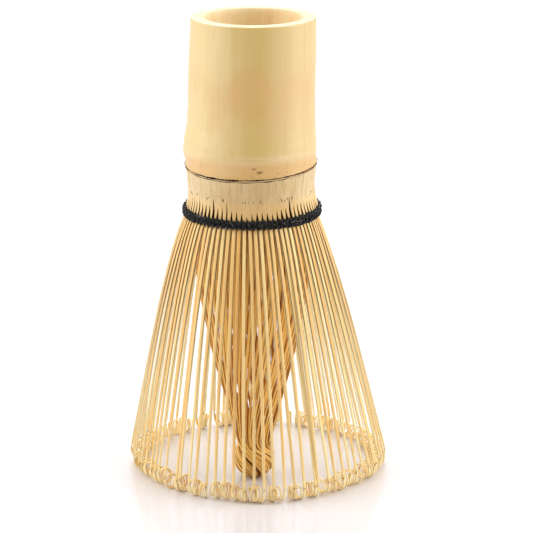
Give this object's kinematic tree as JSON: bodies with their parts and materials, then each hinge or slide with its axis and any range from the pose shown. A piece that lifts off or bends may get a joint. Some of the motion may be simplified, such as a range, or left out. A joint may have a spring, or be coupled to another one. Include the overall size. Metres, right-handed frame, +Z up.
{
  "type": "bamboo tea whisk",
  "caption": "Bamboo whisk for powdered tea: a hollow culm handle with a swollen node, a laced ring of fine curled tines, and an inner core of tines drawn into a knot.",
  "frame": {"origin": "middle of the ring of outer tine curls, on the surface the whisk stands on", "axes": "+Z up along the whisk to the handle rim, -Y to the front, where the core leans, +X to the right seen from the front"},
  "size_m": [0.0587, 0.0588, 0.106],
  "materials": {
    "bamboo_skin": "smooth natural bamboo skin, satin",
    "bamboo_peeled": "shaved bamboo with visible fibre, matte",
    "bamboo_inside": "unfinished inner wall, matte",
    "bamboo_tine": "split bamboo strips, satin",
    "bamboo_core": "thin shaved bamboo strips, satin",
    "node_scar": "dark dry sheath scar, matte",
    "thread": "black twisted cotton thread"
  },
  "bodies": {
    "handle": {"collar": "bamboo_peeled", "handle_tube": "bamboo_skin", "node_diaphragm": "bamboo_inside", "node_swelling": "bamboo_skin", "sheath_scar": "node_scar", "thread_knot": "thread", "thread_lower_row": "thread", "thread_upper_row": "thread"},
    "core": {"inner_tines_01": "bamboo_core", "inner_tines_02": "bamboo_core", "inner_tines_03": "bamboo_core", "inner_tines_04": "bamboo_core", "inner_tines_05": "bamboo_core", "inner_tines_06": "bamboo_core", "inner_tines_07": "bamboo_core", "inner_tines_08": "bamboo_core", "inner_tines_09": "bamboo_core", "inner_tines_10": "bamboo_core", "inner_tines_11": "bamboo_core", "inner_tines_12": "bamboo_core", "inner_tines_13": "bamboo_core", "inner_tines_14": "bamboo_core", "inner_tines_15": "bamboo_core", "inner_tines_16": "bamboo_core", "core_knot": "bamboo_core"},
    "outer_group_01": {"outer_tines_01": "bamboo_tine"},
    "outer_group_02": {"outer_tines_02": "bamboo_tine"},
    "outer_group_03": {"outer_tines_03": "bamboo_tine"},
    "outer_group_04": {"outer_tines_04": "bamboo_tine"},
    "outer_group_05": {"outer_tines_05": "bamboo_tine"},
    "outer_group_06": {"outer_tines_06": "bamboo_tine"},
    "outer_group_07": {"outer_tines_07": "bamboo_tine"},
    "outer_group_08": {"outer_tines_08": "bamboo_tine"},
    "outer_group_09": {"outer_tines_09": "bamboo_tine"},
    "outer_group_10": {"outer_tines_10": "bamboo_tine"},
    "outer_group_11": {"outer_tines_11": "bamboo_tine"},
    "outer_group_12": {"outer_tines_12": "bamboo_tine"},
    "outer_group_13": {"outer_tines_13": "bamboo_tine"},
    "outer_group_14": {"outer_tines_14": "bamboo_tine"},
    "outer_group_15": {"outer_tines_15": "bamboo_tine"},
    "outer_group_16": {"outer_tines_16": "bamboo_tine"}
  },
  "joints": [
    {"name": "outer_flex_01", "type": "hinge", "parent": "handle", "child": "outer_group_01", "pos_m": [0.01253, 0.00275, 0.0619], "axis": [0.1951, -0.9808, 0], "range_deg": [-2.5, 5], "stiffness_Nm_per_rad": 0.02},
    {"name": "outer_flex_02", "type": "hinge", "parent": "handle", "child": "outer_group_02", "pos_m": [0.01042, 0.00783, 0.0619], "axis": [0.5556, -0.8315, 0], "range_deg": [-2.5, 5], "stiffness_Nm_per_rad": 0.02},
    {"name": "outer_flex_03", "type": "hinge", "parent": "handle", "child": "outer_group_03", "pos_m": [0.00653, 0.01172, 0.0619], "axis": [0.8315, -0.5556, 0], "range_deg": [-2.5, 5], "stiffness_Nm_per_rad": 0.02},
    {"name": "outer_flex_04", "type": "hinge", "parent": "handle", "child": "outer_group_04", "pos_m": [0.00145, 0.01383, 0.0619], "axis": [0.9808, -0.1951, 0], "range_deg": [-2.5, 5], "stiffness_Nm_per_rad": 0.02},
    {"name": "outer_flex_05", "type": "hinge", "parent": "handle", "child": "outer_group_05", "pos_m": [-0.00405, 0.01383, 0.0619], "axis": [0.9808, 0.1951, 0], "range_deg": [-2.5, 5], "stiffness_Nm_per_rad": 0.02},
    {"name": "outer_flex_06", "type": "hinge", "parent": "handle", "child": "outer_group_06", "pos_m": [-0.00913, 0.01172, 0.0619], "axis": [0.8315, 0.5556, 0], "range_deg": [-2.5, 5], "stiffness_Nm_per_rad": 0.02},
    {"name": "outer_flex_07", "type": "hinge", "parent": "handle", "child": "outer_group_07", "pos_m": [-0.01302, 0.00783, 0.0619], "axis": [0.5556, 0.8315, 0], "range_deg": [-2.5, 5], "stiffness_Nm_per_rad": 0.02},
    {"name": "outer_flex_08", "type": "hinge", "parent": "handle", "child": "outer_group_08", "pos_m": [-0.01513, 0.00275, 0.0619], "axis": [0.1951, 0.9808, 0], "range_deg": [-2.5, 5], "stiffness_Nm_per_rad": 0.02},
    {"name": "outer_flex_09", "type": "hinge", "parent": "handle", "child": "outer_group_09", "pos_m": [-0.01513, -0.00275, 0.0619], "axis": [-0.1951, 0.9808, 0], "range_deg": [-2.5, 5], "stiffness_Nm_per_rad": 0.02},
    {"name": "outer_flex_10", "type": "hinge", "parent": "handle", "child": "outer_group_10", "pos_m": [-0.01302, -0.00783, 0.0619], "axis": [-0.5556, 0.8315, 0], "range_deg": [-2.5, 5], "stiffness_Nm_per_rad": 0.02},
    {"name": "outer_flex_11", "type": "hinge", "parent": "handle", "child": "outer_group_11", "pos_m": [-0.00913, -0.01172, 0.0619], "axis": [-0.8315, 0.5556, 0], "range_deg": [-2.5, 5], "stiffness_Nm_per_rad": 0.02},
    {"name": "outer_flex_12", "type": "hinge", "parent": "handle", "child": "outer_group_12", "pos_m": [-0.00405, -0.01383, 0.0619], "axis": [-0.9808, 0.1951, 0], "range_deg": [-2.5, 5], "stiffness_Nm_per_rad": 0.02},
    {"name": "outer_flex_13", "type": "hinge", "parent": "handle", "child": "outer_group_13", "pos_m": [0.00145, -0.01383, 0.0619], "axis": [-0.9808, -0.1951, 0], "range_deg": [-2.5, 5], "stiffness_Nm_per_rad": 0.02},
    {"name": "outer_flex_14", "type": "hinge", "parent": "handle", "child": "outer_group_14", "pos_m": [0.00653, -0.01172, 0.0619], "axis": [-0.8315, -0.5556, 0], "range_deg": [-2.5, 5], "stiffness_Nm_per_rad": 0.02},
    {"name": "outer_flex_15", "type": "hinge", "parent": "handle", "child": "outer_group_15", "pos_m": [0.01042, -0.00783, 0.0619], "axis": [-0.5556, -0.8315, 0], "range_deg": [-2.5, 5], "stiffness_Nm_per_rad": 0.02},
    {"name": "outer_flex_16", "type": "hinge", "parent": "handle", "child": "outer_group_16", "pos_m": [0.01253, -0.00275, 0.0619], "axis": [-0.1951, -0.9808, 0], "range_deg": [-2.5, 5], "stiffness_Nm_per_rad": 0.02},
    {"name": "core_sway", "type": "hinge", "parent": "handle", "child": "core", "pos_m": [-0.0013, 0, 0.061], "axis": [1, 0, 0], "range_deg": [-3.5, 3.5], "stiffness_Nm_per_rad": 0.02}
  ]
}
